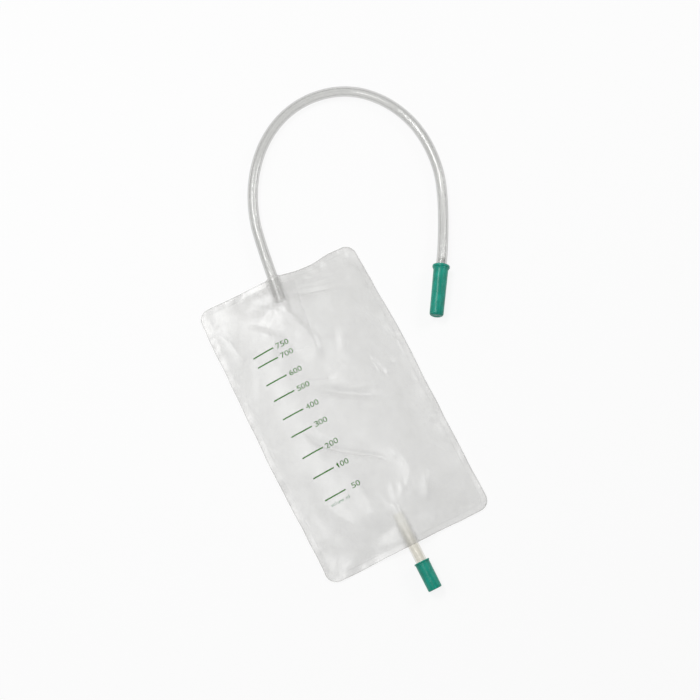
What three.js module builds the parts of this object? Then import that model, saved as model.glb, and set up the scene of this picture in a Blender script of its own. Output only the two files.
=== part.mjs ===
// A 750 ml urine drainage bag lying front side up, in millimetres, with +Z up and +Y towards the inlet.
// The origin is the middle of the back film's underside, on the surface that the bag lies on.
// Two films are welded together all round over an inlet tube at the top and an outlet tube at the
// bottom. The inlet tube opens between the two flaps of a non-return valve. Its far end holds a stepped
// connector under a slip-on cap, and the outlet tube is closed by a shorter slip-on cap.

import * as THREE from 'three';
import { mergeVertices } from 'three/addons/utils/BufferGeometryUtils.js';

// Bag
const bagWidth = 150;
const bagLength = 257;
const cornerRadius = 10;
const weldWidth = 5;
const weldLine = 0.05;
const filmThickness = 0.3;
const crownHeight = 8.6;
const crownReach = 42;
const seamLift = 0.8;
const seamSink = 1.5;
const settleReach = 16;

// Tubes
const tubeDiameter = 9.2;
const tubeBore = 6.6;
const inletX = -2.7;
const inletLean = THREE.MathUtils.degToRad(7);
const inletInside = 22;
const outletX = 2.2;
const outletInside = 28;
const outletShown = 15;

// How the soft bag lies: its top edge is drawn in beside the inlet, and two of its corners lean in
const edgeDrawIn = 2.2;
const edgeDrawPlace = 27;
const edgeDrawWidth = 20;
const edgeDrawDepth = 34;
const lowerLeftLean = 3;
const upperRightLean = 2.2;

// Non-return valve
const flapWidth = 34;
const flapLength = 60;
const flapThickness = 0.2;
const flapTop = 7;
const flapSeam = 0.1;
const flapRest = 1.0;
const lipParting = 1.4;

// How the film drapes over a tube and comes down past the tube's inner end
const wrapAngle = THREE.MathUtils.degToRad(58);
const wrapSpread = 30;
const filmFall = 20;
const flapFall = 14;

// Caps
const capWall = 1.2;
const capFloor = 1.6;
const inletCapLength = 46;
const inletCapTaper = 0.45;
const inletCapFlange = 1.1;
const inletCapFlangeHeight = 2.2;
const inletCapBead = 0.45;
const inletCapEndRadius = 2.2;
const inletMouthGap = 0.65;
const inletTubeCovered = 6;
const outletCapLength = 24.5;
const outletCapTaper = 0.15;
const outletCapFlange = 0.55;
const outletCapFlangeHeight = 1.3;
const outletCapBead = 0.12;
const outletCapEndRadius = 1.0;
const outletTubeCovered = 17;
const dimpleDepth = 0.4;

// Stepped connector in the free end of the inlet tube
const connectorBore = 3.6;
const tailLength = 13;
const tailBarb = 0.35;
const barbCount = 3;
const collarHeight = 2;
const collarStep = 0.75;
const noseLength = 27;
const noseSteps = 4;
const noseTaper = 1.1;
const stepDepth = 0.3;

// Clearances
const pieceGap = 0.3;
const fitGap = 0.25;
const restGap = 0.1;

// Fineness of the meshes
const filmColumns = 26;
const frontRows = 34;
const backRows = 11;
const endRows = 6;
const cornerRows = 4;
const endZone = 30;
const columnCrowding = 3.6;
const crowdedWidth = 6.5;
const tubeSides = 12;
const tubeSteps = 30;
const turnedSides = 20;

// Folds of the front film: height over the crown, half width, and the points that the crest passes
const folds = [
  { height: 2.4, width: 9, crest: [[-5, 102], [-4, 88], [1, 68], [-9, 52]] },
  { height: -1.2, width: 6, crest: [[5, 108], [20, 103], [40, 99], [58, 92]] },
  { height: 1.7, width: 7, crest: [[53, 80], [60, 58], [65, 34], [68, 4], [67, -24]] },
  { height: -1.5, width: 8, crest: [[-16, 23], [4, 12], [22, 2], [46, -13]] },
  { height: 1.1, width: 7, crest: [[2, 24], [24, 12], [50, -2]] },
  { height: -1.3, width: 6, crest: [[46, 34], [49, 20], [44, 6]] },
  { height: 1.3, width: 6, crest: [[28, 60], [20, 42], [26, 26]] },
  { height: -1.8, width: 7, crest: [[-36, -8], [-24, -26], [-8, -38], [10, -51], [20, -60]] },
  { height: 1.5, width: 8, crest: [[16, -46], [28, -60], [26, -76], [14, -90]] },
  { height: 1.4, width: 6, crest: [[40, -76], [34, -90], [27, -104]] },
  { height: 1.6, width: 9, crest: [[-70, 42], [-62, 60], [-52, 76]] },
  { height: -1.2, width: 9, crest: [[-64, 100], [-58, 84], [-60, 66]] },
  { height: 1.5, width: 12, crest: [[-54, -58], [-42, -80], [-28, -102]] },
  { height: -1.3, width: 8, crest: [[-62, -64], [-56, -84], [-46, -104]] },
];

// Gathers that run out from the inner end of each tube, as angles from the tube's own line
const gatherAngles = [-62, -38, -15, 15, 38, 62].map(THREE.MathUtils.degToRad);
const gatherLength = 26;
const gatherHeight = 1.1;
const gatherWidth = 4;

// Free route of the inlet tube from the bag's top edge to the mouth of its cap. Each point is given
// from the inlet: to the right, up the page, and the share of the end's height over the lying tube.
const inletRoute = [
  [0, 0, 1],
  [2.1, 16.9, 0.9],
  [4.4, 33.4, 0.45],
  [7.8, 51.8, 0.05],
  [13.6, 69.7, 0],
  [21.9, 87, 0],
  [32.6, 102.8, 0],
  [45.7, 116.8, 0],
  [61, 128.1, 0],
  [78.2, 136, 0],
  [96.4, 139.7, 0],
  [114.8, 138.9, 0],
  [132.2, 133.8, 0],
  [147.7, 124.3, 0],
  [160.3, 111, 0],
  [169.8, 95, 0],
  [175.9, 77.3, 0],
  [178.4, 58.5, 0],
  [177.6, 39.4, 0],
  [173.9, 20.7, 0],
  [167.3, 2.8, 0.03],
  [159.2, -14.3, 0.25],
  [150.4, -30.8, 0.7],
  [141.1, -46.9, 1],
  [135.7, -55.3, 1],
];

// Sizes that follow from the ones above
const tubeRadius = tubeDiameter / 2;
const inletCapBore = tubeDiameter + 2 * inletMouthGap;
const inletCapDiameter = inletCapBore + 2 * capWall;
const inletFlangeDiameter = inletCapDiameter + 2 * inletCapFlange;
const outletCapBore = tubeDiameter + 2 * fitGap;
const outletCapDiameter = outletCapBore + 2 * capWall;
const outletFlangeDiameter = outletCapDiameter + 2 * outletCapFlange;
const collarDiameter = inletCapBore - 2 * inletCapTaper * (inletTubeCovered / inletCapLength) - 2 * fitGap;
const layersUnderTube = filmThickness + pieceGap + flapThickness + fitGap;
const lyingHeight = tubeRadius + restGap;
const inletHeight = tubeRadius + layersUnderTube;
const inletCapHeight = inletFlangeDiameter / 2 + restGap;
const outletHeight = outletFlangeDiameter / 2 + restGap;
const inletPort = { x: inletX, y: bagLength / 2, z: inletHeight, lean: inletLean, inside: inletInside };
const outletPort = { x: outletX, y: -bagLength / 2, z: outletHeight, lean: Math.PI, inside: outletInside };

// Small helpers

function clamp01(value) {
  return Math.min(Math.max(value, 0), 1);
}

function smoothStep(value) {
  const t = clamp01(value);
  return t * t * (3 - 2 * t);
}

function softMax(a, b, softness) {
  return (a + b + Math.hypot(a - b, softness)) / 2;
}

function softMin(a, b, softness) {
  return (a + b - Math.hypot(a - b, softness)) / 2;
}

function signedVolume(geometry) {
  const corners = [new THREE.Vector3(), new THREE.Vector3(), new THREE.Vector3()];
  const { index, attributes } = geometry;
  let sum = 0;
  for (let i = 0; i < index.count; i += 3) {
    corners.forEach((corner, k) => corner.fromBufferAttribute(attributes.position, index.getX(i + k)));
    sum += corners[0].dot(corners[1].clone().cross(corners[2])) / 6;
  }
  return sum;
}

// A closed surface with shared vertices, no flattened triangles and its faces pointing out
function closedSurface(source) {
  source.deleteAttribute('normal');
  source.deleteAttribute('uv');
  const geometry = mergeVertices(source, 1e-4);
  const kept = [];
  for (let i = 0; i < geometry.index.count; i += 3) {
    const [a, b, c] = [0, 1, 2].map((k) => geometry.index.getX(i + k));
    if (a !== b && b !== c && c !== a) kept.push(a, b, c);
  }
  geometry.setIndex(kept);
  if (signedVolume(geometry) < 0) geometry.setIndex(kept.reverse());
  geometry.computeVertexNormals();
  return geometry;
}

// Points of a circular arc in a turned profile, from one angle to another
function arc(radius, y, size, from, to, steps) {
  return Array.from({ length: steps + 1 }, (_, k) => {
    const angle = from + ((to - from) * k) / steps;
    return new THREE.Vector2(radius + size * Math.cos(angle), y + size * Math.sin(angle));
  });
}

function turned(profile) {
  return closedSurface(new THREE.LatheGeometry(profile, turnedSides));
}

// Shape of the films

// How far a point lies inside the bag's rounded outline
function edgeDistance(x, y) {
  const pastX = Math.abs(x) - (bagWidth / 2 - cornerRadius);
  const pastY = Math.abs(y) - (bagLength / 2 - cornerRadius);
  const outside = Math.hypot(Math.max(pastX, 0), Math.max(pastY, 0));
  return cornerRadius - outside - Math.min(Math.max(pastX, pastY), 0);
}

// A port's own directions: along its tube into the bag, and across it
function portAxes(port) {
  return {
    along: [-Math.sin(port.lean), -Math.cos(port.lean)],
    across: [Math.cos(port.lean), -Math.sin(port.lean)],
  };
}

function fromPort(port, x, y) {
  const { along, across } = portAxes(port);
  const [dx, dy] = [x - port.x, y - port.y];
  return { depth: dx * along[0] + dy * along[1], side: dx * across[0] + dy * across[1] };
}

function portAt(port, depth, side) {
  const { along, across } = portAxes(port);
  return [port.x + along[0] * depth + across[0] * side, port.y + along[1] * depth + across[1] * side];
}

// Where a point of the flat bag comes to lie: the same for both films, and no shift at either tube
function layDown(x, y) {
  const [right, up] = [x / (bagWidth / 2), y / (bagLength / 2)];
  const drawn = Math.exp(-(((x - edgeDrawPlace) / edgeDrawWidth) ** 4));
  const nearTop = smoothStep(1 - (bagLength / 2 - y) / edgeDrawDepth);
  const lowerLeft = smoothStep(-right) * smoothStep(-up);
  const upperRight = smoothStep(right) * smoothStep(up);
  return [
    x + lowerLeftLean * lowerLeft - upperRightLean * upperRight,
    y - edgeDrawIn * drawn * nearTop,
  ];
}

// Height over the tube's axis of a film drawn over it: round on the tube, then straight down beside it.
// Past the tube's inner end the film comes down in a parabola.
function drape(port, x, y, radius, fall) {
  const { depth, side } = fromPort(port, x, y);
  const turn = radius * Math.sin(wrapAngle);
  const past = Math.max(depth - port.inside, 0) / fall;
  const drop = 2 * radius * past * past;
  if (Math.abs(side) < turn) return Math.sqrt(radius * radius - side * side) - drop;
  return radius * Math.cos(wrapAngle) - (Math.abs(side) - turn) * Math.tan(wrapAngle) - drop;
}

// The weld rises from near the surface to the middle of each tube that passes through it
function seamRise(x, y) {
  const port = y > 0 ? inletPort : outletPort;
  const { side } = fromPort(port, x, y);
  const near = 1 - smoothStep((Math.abs(side) - 1.3 * tubeRadius) / wrapSpread);
  const rise = seamLift + (port.z - filmThickness - seamSink - seamLift) * near;
  return rise * (1 - smoothStep((edgeDistance(x, y) - weldWidth) / settleReach));
}

function backBase(x, y) {
  return filmThickness + seamRise(x, y);
}

// How far the films have parted at a distance from the weld, from 0 to 1
function parting(distance) {
  const t = clamp01(distance / crownReach);
  return (1 - (1 - t) ** 2) ** 0.75;
}

function crown(x, y) {
  if (edgeDistance(x, y) <= weldWidth) return 0;
  return parting(bagWidth / 2 - weldWidth - Math.abs(x)) * parting(bagLength / 2 - weldWidth - Math.abs(y));
}

// Nearest point of a fold's crest: its distance, and how far along the crest it lies, from 0 to 1
function nearestOnCrest(crest, x, y) {
  const lengths = crest.slice(1).map((end, i) => Math.hypot(end[0] - crest[i][0], end[1] - crest[i][1]));
  const total = lengths.reduce((sum, length) => sum + length, 0);
  let nearest = { distance: Infinity, share: 0 };
  let walked = 0;
  lengths.forEach((length, i) => {
    const [ax, ay] = crest[i];
    const [bx, by] = crest[i + 1];
    const t = clamp01(((x - ax) * (bx - ax) + (y - ay) * (by - ay)) / (length * length));
    const distance = Math.hypot(x - ax - t * (bx - ax), y - ay - t * (by - ay));
    if (distance < nearest.distance) nearest = { distance, share: (walked + t * length) / total };
    walked += length;
  });
  return nearest;
}

// A fold rises or sinks along its whole crest and dies out at both ends and to both sides
function foldHeight(fold, x, y) {
  const { distance, share } = nearestOnCrest(fold.crest, x, y);
  const taper = smoothStep(Math.min(share, 1 - share) / 0.25);
  return (fold.height * (0.25 + 0.75 * taper)) / (1 + (distance / fold.width) ** 2) ** 2;
}

function gathersOf(port) {
  return gatherAngles.map((angle) => {
    const start = portAt(port, port.inside + 2, gatherWidth * Math.sin(angle));
    const end = portAt(
      port,
      port.inside + gatherLength * Math.cos(angle),
      gatherLength * Math.sin(angle),
    );
    return { height: gatherHeight, width: gatherWidth, crest: [start, end] };
  });
}

const allFolds = [...folds, ...gathersOf(inletPort), ...gathersOf(outletPort)];

function frontBase(x, y) {
  const share = crown(x, y);
  const folded = share > 0 ? allFolds.reduce((sum, fold) => sum + foldHeight(fold, x, y), 0) : 0;
  return backBase(x, y) + weldLine + share * (crownHeight + folded);
}

// Radius that a film keeps round a port's tube, with room for the valve's flap inside the bag
function filmRadius(port, x, y) {
  const { depth } = fromPort(port, x, y);
  const flapRoom = port === inletPort ? flapThickness + fitGap : 0;
  return tubeRadius + pieceGap + flapRoom * smoothStep((depth - weldWidth) / (flapTop - 1 - weldWidth));
}

// Inner faces of the two films
function frontInner(x, y) {
  return [inletPort, outletPort].reduce(
    (height, port) => softMax(height, port.z + drape(port, x, y, filmRadius(port, x, y), filmFall), 0.8),
    frontBase(x, y),
  );
}

function backInner(x, y) {
  const lowered = [inletPort, outletPort].reduce(
    (height, port) => softMin(height, port.z - drape(port, x, y, filmRadius(port, x, y), filmFall), 0.8),
    backBase(x, y),
  );
  return Math.max(lowered, filmThickness);
}

// Inner faces of the two valve flaps, which lie over the back film and part a little at their lips
function flapMiddle(x, y) {
  return backBase(x, y) + Math.min((frontBase(x, y) - backBase(x, y)) / 2, flapRest);
}

function lipOpening(x, y) {
  const { depth, side } = fromPort(inletPort, x, y);
  const across = 1 - (2 * side / flapWidth) ** 2;
  return lipParting * Math.max(across, 0) * smoothStep((depth - flapTop) / flapLength);
}

function frontFlapInner(x, y) {
  const flat = flapMiddle(x, y) + flapSeam / 2 + lipOpening(x, y);
  return softMax(flat, inletPort.z + drape(inletPort, x, y, tubeRadius + fitGap, flapFall), 0.3);
}

function backFlapInner(x, y) {
  const flat = flapMiddle(x, y) - flapSeam / 2;
  return softMin(flat, inletPort.z - drape(inletPort, x, y, tubeRadius + fitGap, flapFall), 0.3);
}

// Sheets

// A thin sheet over a grid of points: its inner face follows a height, its outer face stands off from
// that by the thickness along the surface normal, upwards or, for a negative thickness, downwards.
function sheet(grid, height, thickness) {
  const step = 0.05;
  const [rows, columns] = [grid.length, grid[0].length];
  const inner = [];
  const outer = [];
  grid.flat().forEach(([x, y]) => {
    const slopeX = (height(x + step, y) - height(x - step, y)) / (2 * step);
    const slopeY = (height(x, y + step) - height(x, y - step)) / (2 * step);
    const normal = new THREE.Vector3(-slopeX, -slopeY, 1).setLength(thickness);
    const point = new THREE.Vector3(...layDown(x, y), height(x, y));
    inner.push(...point.toArray());
    outer.push(...point.add(normal).toArray());
  });
  const at = (row, column) => row * columns + column;
  const layer = rows * columns;
  const faces = [];
  for (let row = 0; row < rows - 1; row += 1) {
    for (let column = 0; column < columns - 1; column += 1) {
      const [a, b] = [at(row, column), at(row, column + 1)];
      const [d, c] = [at(row + 1, column), at(row + 1, column + 1)];
      const [x, y] = grid[row][column];
      const halves = (x + 0.1) * y > 0 ? [[a, b, c], [a, c, d]] : [[a, b, d], [b, c, d]];
      halves.forEach(([p, q, r]) => faces.push(p, q, r, layer + r, layer + q, layer + p));
    }
  }
  const border = [];
  for (let column = 0; column < columns - 1; column += 1) border.push(at(0, column));
  for (let row = 0; row < rows - 1; row += 1) border.push(at(row, columns - 1));
  for (let column = columns - 1; column > 0; column -= 1) border.push(at(rows - 1, column));
  for (let row = rows - 1; row > 0; row -= 1) border.push(at(row, 0));
  border.forEach((from, i) => {
    const to = border[(i + 1) % border.length];
    faces.push(to, from, layer + from, to, layer + from, layer + to);
  });
  const geometry = new THREE.BufferGeometry();
  geometry.setAttribute('position', new THREE.Float32BufferAttribute([...inner, ...outer], 3));
  geometry.setIndex(faces);
  return closedSurface(geometry);
}

// Heights up the bag at which a film has a row of points: close round the corners, closer than the
// middle beside the tubes, and even between
function filmRowHeights(middleRows) {
  const corner = Array.from({ length: cornerRows + 1 }, (_, k) => {
    return cornerRadius * (1 - Math.cos((k * Math.PI) / 2 / cornerRows));
  });
  const beside = Array.from({ length: endRows }, (_, k) => {
    return cornerRadius + ((endZone - cornerRadius) * (k + 1)) / endRows;
  });
  const depths = [...corner, weldWidth, ...beside].sort((a, b) => a - b);
  const span = bagLength - 2 * endZone;
  const middle = Array.from({ length: middleRows - 1 }, (_, k) => span * ((k + 1) / middleRows - 0.5));
  const top = depths.map((depth) => bagLength / 2 - depth);
  return [...top.map((y) => -y), ...middle, ...top.reverse()];
}

// Place of a column at a height up the bag: on the edge, on the weld's inner line, or between them,
// where the columns crowd together beside the tubes
function columnPlace(column, y) {
  const past = Math.max(Math.abs(y) - (bagLength / 2 - cornerRadius), 0);
  const half = bagWidth / 2 - cornerRadius + Math.sqrt(Math.max(cornerRadius ** 2 - past ** 2, 0));
  if (column === 0 || column === filmColumns) return column === 0 ? -half : half;
  const inner = half - weldWidth;
  const port = y > 0 ? inletPort : outletPort;
  const centre = portAt(port, (bagLength / 2 - Math.abs(y)) / Math.abs(Math.cos(port.lean)), 0)[0];
  const crowding = columnCrowding * smoothStep((Math.abs(y) - bagLength / 4) / (bagLength / 8));
  const count = (x) => x + crowding * crowdedWidth * Math.tanh((x - centre) / crowdedWidth);
  const share = (column - 1) / (filmColumns - 2);
  const wanted = count(-inner) + share * (count(inner) - count(-inner));
  let [low, high] = [-inner, inner];
  for (let turn = 0; turn < 40; turn += 1) {
    const middle = (low + high) / 2;
    if (count(middle) < wanted) low = middle;
    else high = middle;
  }
  return (low + high) / 2;
}

function filmGrid(middleRows) {
  return filmRowHeights(middleRows).map((y) => {
    return Array.from({ length: filmColumns + 1 }, (_, column) => [columnPlace(column, y), y]);
  });
}

// The flaps start level, just under the top weld, and run down along the inlet tube's own line
function flapGrid() {
  const sides = [0, 0.1, 0.2, 0.29, 0.38, 0.5, 0.7, 1].map((share) => (share * flapWidth) / 2);
  const across = [...sides.slice(1).reverse().map((side) => -side), ...sides];
  const shares = [1, 0.8, 0.62, 0.48, 0.37, 0.29, 0.22, 0.11, 0];
  return shares.map((share) => {
    return across.map((side) => {
      const level = -side * Math.tan(inletPort.lean) * (1 - share);
      return portAt(inletPort, flapTop + share * flapLength + level, side);
    });
  });
}

// Tubes

function inletPath() {
  const points = inletRoute.map(([right, up, share], i) => {
    const endHeight = i < inletRoute.length / 2 ? inletHeight : inletCapHeight;
    const z = lyingHeight + share * (endHeight - lyingHeight);
    return new THREE.Vector3(inletPort.x + right, inletPort.y + up, z);
  });
  const mouth = points[points.length - 1];
  const direction = mouth.clone().sub(points[points.length - 2]).normalize();
  const inside = [inletInside, inletInside / 2].map((depth) => {
    return new THREE.Vector3(...portAt(inletPort, depth, 0), inletHeight);
  });
  const end = mouth.clone().addScaledVector(direction, inletTubeCovered);
  const curve = new THREE.CatmullRomCurve3([...inside, ...points, end], false, 'centripetal');
  return { curve, mouth, direction };
}

function ringSection() {
  const circle = (radius) => Array.from({ length: tubeSides }, (_, k) => {
    const angle = (2 * Math.PI * k) / tubeSides;
    return new THREE.Vector2(radius * Math.cos(angle), radius * Math.sin(angle));
  });
  const section = new THREE.Shape(circle(tubeRadius));
  section.holes.push(new THREE.Path(circle(tubeBore / 2)));
  return section;
}

function inletTube(curve) {
  const settings = { steps: tubeSteps, bevelEnabled: false, extrudePath: curve };
  return closedSurface(new THREE.ExtrudeGeometry(ringSection(), settings));
}

// The outlet tube is turned about its own line, from its inner end at 0 to its outer end
function outletTube(length) {
  const [bore, wall] = [tubeBore / 2, tubeRadius];
  return turned([[bore, 0], [wall, 0], [wall, length], [bore, length], [bore, 0]].map(
    ([radius, y]) => new THREE.Vector2(radius, y),
  ));
}

// Caps and connector, turned about their own line, which starts at the cap's mouth

// A slip-on cap: a flange and a small bead round the mouth, a tapered body and a rounded closed end
// with a shallow dimple in it
function cap({ length, diameter, bore, taper, flange, flangeHeight, bead, endRadius }) {
  const [mouth, hole] = [diameter / 2, bore / 2];
  const end = mouth - taper;
  const lip = 0.35 * flangeHeight;
  const dimple = 0.55 * end;
  const profile = [
    new THREE.Vector2(0, length - capFloor),
    new THREE.Vector2(hole - taper, length - capFloor),
    new THREE.Vector2(hole, lip),
    ...arc(hole + lip, lip, lip, Math.PI, 1.5 * Math.PI, 2),
    ...arc(mouth + flange - lip, lip, lip, 1.5 * Math.PI, 2 * Math.PI, 2),
    new THREE.Vector2(mouth + flange, flangeHeight),
    new THREE.Vector2(mouth + bead, flangeHeight + 0.3 * lip),
    new THREE.Vector2(mouth + bead, 1.5 * flangeHeight),
    new THREE.Vector2(mouth, 1.5 * flangeHeight + bead),
    ...arc(end - endRadius, length - endRadius, endRadius, 0, 0.5 * Math.PI, 4),
    new THREE.Vector2(dimple, length),
    new THREE.Vector2(dimple - dimpleDepth, length - dimpleDepth),
    new THREE.Vector2(0, length - dimpleDepth),
  ];
  return turned(profile.filter((point, i) => i === 0 || point.distanceTo(profile[i - 1]) > 1e-3));
}

// A stepped connector: a barbed tail inside the tube, a collar that butts on the tube's end, and a
// tapered nose in steps, with one bore through all of it
function connector() {
  const bore = connectorBore / 2;
  const tail = tubeBore / 2 - fitGap;
  const collarStart = inletTubeCovered + pieceGap;
  const noseStart = collarStart + collarHeight;
  const noseBase = collarDiameter / 2 - collarStep;
  const tailStart = collarStart - tailLength;
  const barbPitch = (0.75 * tailLength) / barbCount;
  const barbs = Array.from({ length: barbCount }, (_, k) => [
    [tail - tailBarb, tailStart + k * barbPitch],
    [tail, tailStart + (k + 0.8) * barbPitch],
    [tail - tailBarb, tailStart + (k + 0.85) * barbPitch],
  ]).flat();
  const stepPitch = noseLength / noseSteps;
  const steps = Array.from({ length: noseSteps }, (_, k) => {
    const radius = noseBase - (noseTaper * k) / (noseSteps - 1);
    const y = noseStart + k * stepPitch;
    return [
      [radius, y + (k > 0 ? stepDepth : 0)],
      [radius - stepDepth, y + stepPitch],
    ];
  }).flat();
  const outline = [
    [bore, tailStart],
    ...barbs,
    [tail - tailBarb, collarStart],
    [collarDiameter / 2, collarStart],
    [collarDiameter / 2, noseStart],
    ...steps,
    [bore, noseStart + noseLength],
    [bore, tailStart],
  ];
  return turned(outline.map(([radius, y]) => new THREE.Vector2(radius, y)));
}

// Materials, with colours as the pieces look in plain light

function plastic(color, roughness, opacity) {
  return new THREE.MeshStandardMaterial({
    color,
    roughness,
    metalness: 0,
    transparent: opacity < 1,
    opacity,
  });
}

const clearFilm = plastic(0xdedfdc, 0.22, 0.45);
const valveFilm = plastic(0xe4e5e2, 0.3, 0.5);
const clearTube = plastic(0xd6d8d4, 0.15, 0.5);
const creamTube = plastic(0xdedbc8, 0.2, 0.6);
const whitePlastic = plastic(0xf0f1ee, 0.35, 1);
const greenVinyl = plastic(0x1f8a74, 0.35, 1);

// Assembly

function addPiece(parent, name, geometry, material) {
  const mesh = new THREE.Mesh(geometry, material);
  mesh.name = name;
  parent.add(mesh);
  return mesh;
}

const bag = new THREE.Group();
addPiece(bag, 'front_film', sheet(filmGrid(frontRows), frontInner, filmThickness), clearFilm);
addPiece(bag, 'back_film', sheet(filmGrid(backRows), backInner, -filmThickness), clearFilm);
addPiece(bag, 'valve_front_flap', sheet(flapGrid(), frontFlapInner, flapThickness), valveFilm);
addPiece(bag, 'valve_back_flap', sheet(flapGrid(), backFlapInner, -flapThickness), valveFilm);

const route = inletPath();
addPiece(bag, 'inlet_tube', inletTube(route.curve), clearTube);

// The connector and its cap stand at the mouth, in line with the tube's end
const inletEnd = new THREE.Group();
inletEnd.position.copy(route.mouth);
inletEnd.quaternion.setFromUnitVectors(new THREE.Vector3(0, 1, 0), route.direction);
bag.add(inletEnd);
addPiece(inletEnd, 'catheter_connector', connector(), whitePlastic);
addPiece(
  inletEnd,
  'inlet_cap',
  cap({
    length: inletCapLength,
    diameter: inletCapDiameter,
    bore: inletCapBore,
    taper: inletCapTaper,
    flange: inletCapFlange,
    flangeHeight: inletCapFlangeHeight,
    bead: inletCapBead,
    endRadius: inletCapEndRadius,
  }),
  greenVinyl,
);

// The outlet's pieces run down the page from the tube's inner end
const outlet = new THREE.Group();
outlet.position.set(outletX, -bagLength / 2 + outletInside, outletHeight);
outlet.rotation.z = Math.PI;
bag.add(outlet);
addPiece(outlet, 'outlet_tube', outletTube(outletInside + outletShown + outletTubeCovered), creamTube);
const outletCap = addPiece(
  outlet,
  'outlet_cap',
  cap({
    length: outletCapLength,
    diameter: outletCapDiameter,
    bore: outletCapBore,
    taper: outletCapTaper,
    flange: outletCapFlange,
    flangeHeight: outletCapFlangeHeight,
    bead: outletCapBead,
    endRadius: outletCapEndRadius,
  }),
  greenVinyl,
);
outletCap.position.y = outletInside + outletShown;

export default bag;
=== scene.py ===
import math
from functools import lru_cache
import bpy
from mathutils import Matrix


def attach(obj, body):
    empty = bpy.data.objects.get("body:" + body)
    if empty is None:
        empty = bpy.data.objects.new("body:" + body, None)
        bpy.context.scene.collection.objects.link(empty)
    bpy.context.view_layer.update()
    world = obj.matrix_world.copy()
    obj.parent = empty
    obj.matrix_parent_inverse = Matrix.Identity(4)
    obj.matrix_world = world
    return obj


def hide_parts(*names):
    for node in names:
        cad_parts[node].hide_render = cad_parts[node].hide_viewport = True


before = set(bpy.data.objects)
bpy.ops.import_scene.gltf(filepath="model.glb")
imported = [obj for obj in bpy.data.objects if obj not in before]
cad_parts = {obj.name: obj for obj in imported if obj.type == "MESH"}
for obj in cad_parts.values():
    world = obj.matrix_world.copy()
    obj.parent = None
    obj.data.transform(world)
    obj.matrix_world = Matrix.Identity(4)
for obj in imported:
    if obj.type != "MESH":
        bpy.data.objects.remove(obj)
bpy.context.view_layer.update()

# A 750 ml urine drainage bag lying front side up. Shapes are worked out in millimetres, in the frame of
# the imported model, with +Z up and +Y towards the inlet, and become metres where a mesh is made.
from types import SimpleNamespace

import bmesh
import bpy
import numpy as np
from mathutils import Matrix, Vector

MM = 0.001

# Sizes of the bag, its tubes and its caps
BAG_WIDTH, BAG_LENGTH, CORNER_RADIUS = 150.0, 257.0, 10.0
HALF_WIDTH, HALF_LENGTH = BAG_WIDTH / 2, BAG_LENGTH / 2
WELD_WIDTH, WELD_LINE, FILM_THICKNESS = 5.0, 0.05, 0.3
CROWN_HEIGHT, CROWN_REACH, CROWN_POWER = 8.6, 42.0, 1.15
SEAM_LIFT, SEAM_SINK, SETTLE_REACH = 0.8, 1.5, 16.0
TUBE_RADIUS, TUBE_BORE = 4.6, 3.3
FLAP_WIDTH, FLAP_LENGTH, FLAP_THICKNESS, FLAP_TOP = 34.0, 60.0, 0.2, 7.0
FLAP_SEAM, FLAP_REST, LIP_PARTING = 0.1, 1.0, 1.4
WRAP_ANGLE, WRAP_SPREAD, FILM_FALL, FLAP_FALL = math.radians(58), 30.0, 20.0, 14.0
PIECE_GAP, FIT_GAP = 0.3, 0.25
CAP_FLOOR, DIMPLE_DEPTH = 1.6, 0.4
INLET_TUBE_COVERED, OUTLET_TUBE_COVERED = 6.0, 17.0
LYING_HEIGHT, INLET_HEIGHT, INLET_CAP_HEIGHT, OUTLET_HEIGHT = 4.7, 5.65, 7.65, 6.7

INLET = SimpleNamespace(x=-2.7, y=128.5, z=INLET_HEIGHT, lean=math.radians(7), inside=22.0, flap_room=0.45)
OUTLET = SimpleNamespace(x=2.2, y=-128.5, z=OUTLET_HEIGHT, lean=math.pi, inside=28.0, flap_room=0.0)
OUTLET_SHOWN = 15.0

# Size of the sheets' cells, sides and rings of the round pieces, and angles from which an edge is sharp
FRONT_CELL, BACK_CELL, FLAP_CELL, CORNER_ROWS, COLUMN_SPREAD = 0.95, 1.4, 1.0, 14, 0.03
INLET_SIDES, OUTLET_SIDES, OUTLET_RINGS, TURNED_SIDES = 48, 64, 60, 96
SHEET_SHARP, TUBE_SHARP, TURNED_SHARP = 60, 50, 28

# Free route of the inlet tube, from the inlet: right, up, and share of the end's height over LYING_HEIGHT
INLET_ROUTE = [
    (0, 0, 1), (2.1, 16.9, 0.9), (4.4, 33.4, 0.45), (7.8, 51.8, 0.05), (13.6, 69.7, 0), (21.9, 87, 0),
    (32.6, 102.8, 0), (45.7, 116.8, 0), (61, 128.1, 0), (78.2, 136, 0), (96.4, 139.7, 0),
    (114.8, 138.9, 0), (132.2, 133.8, 0), (147.7, 124.3, 0), (160.3, 111, 0), (169.8, 95, 0),
    (175.9, 77.3, 0), (178.4, 58.5, 0), (177.6, 39.4, 0), (173.9, 20.7, 0), (167.3, 2.8, 0.03),
    (159.2, -14.3, 0.25), (150.4, -30.8, 0.7), (141.1, -46.9, 1), (135.7, -55.3, 1),
]

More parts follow.
